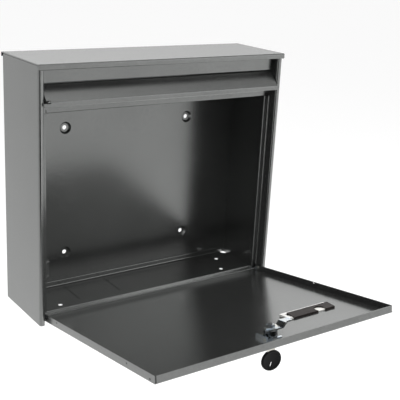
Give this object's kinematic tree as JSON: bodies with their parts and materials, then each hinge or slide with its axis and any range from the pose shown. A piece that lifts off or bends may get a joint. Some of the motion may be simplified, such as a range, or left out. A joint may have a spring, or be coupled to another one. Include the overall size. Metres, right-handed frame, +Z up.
{
  "type": "wall mounted mailbox",
  "caption": "Wall mounted sheet-steel mailbox with a top insert flap, a drop-down front door with cam lock, key and name plate holder, and screw holes in its back.",
  "frame": {"origin": "on the wall plane, at the centre of the rectangle of four wall screw holes", "axes": "+X to the right as seen from the front, +Y into the wall, +Z up; the front faces -Y"},
  "size_m": [0.364, 0.3609, 0.327],
  "materials": {
    "painted_steel": "metallic grey powder coat, semi-gloss",
    "zinc": "bright zinc plated",
    "lock_chrome": "chromed die casting",
    "key_nickel": "nickel plated",
    "key_plastic": "moulded, satin",
    "clear_window": "clear acrylic",
    "card_paper": "white card",
    "holder_black": "glossy black"
  },
  "bodies": {
    "cabinet": {"left_side": "painted_steel", "right_side": "painted_steel", "back_panel": "painted_steel", "floor_panel": "painted_steel", "sill_rail": "painted_steel", "header_rail": "painted_steel", "fascia_panel": "painted_steel", "roof": "painted_steel", "stay_bracket": "painted_steel"},
    "flap": {"insert_flap": "painted_steel", "flap_pins": "zinc"},
    "door": {"door_panel": "painted_steel", "hinge_pins": "zinc", "lock_barrel": "lock_chrome", "lock_clip": "zinc", "name_window": "clear_window", "name_card": "card_paper", "name_retainer": "holder_black"},
    "plug": {"lock_plug": "lock_chrome", "lock_cam": "zinc", "cam_washer": "zinc", "cam_nut": "zinc"},
    "key": {"key_blade": "key_nickel", "key_bow": "key_plastic"}
  },
  "joints": [
    {"name": "door_hinge", "type": "hinge", "parent": "cabinet", "child": "door", "pos_m": [0, -0.0995, -0.1278], "axis": [-1, 0, 0], "range_deg": [0, 81]},
    {"name": "flap_hinge", "type": "hinge", "parent": "cabinet", "child": "flap", "pos_m": [0, -0.0955, 0.1592], "axis": [-1, 0, 0], "range_deg": [0, 80]},
    {"name": "lock_turn", "type": "hinge", "parent": "door", "child": "plug", "pos_m": [0.0025, -0.33091, -0.09621], "axis": [0, -0.1564, -0.9877], "range_deg": [0, 90]},
    {"name": "key_slide", "type": "slide", "parent": "plug", "child": "key", "axis": [0, -0.1564, -0.9877], "range_m": [0, 0.012]}
  ]
}
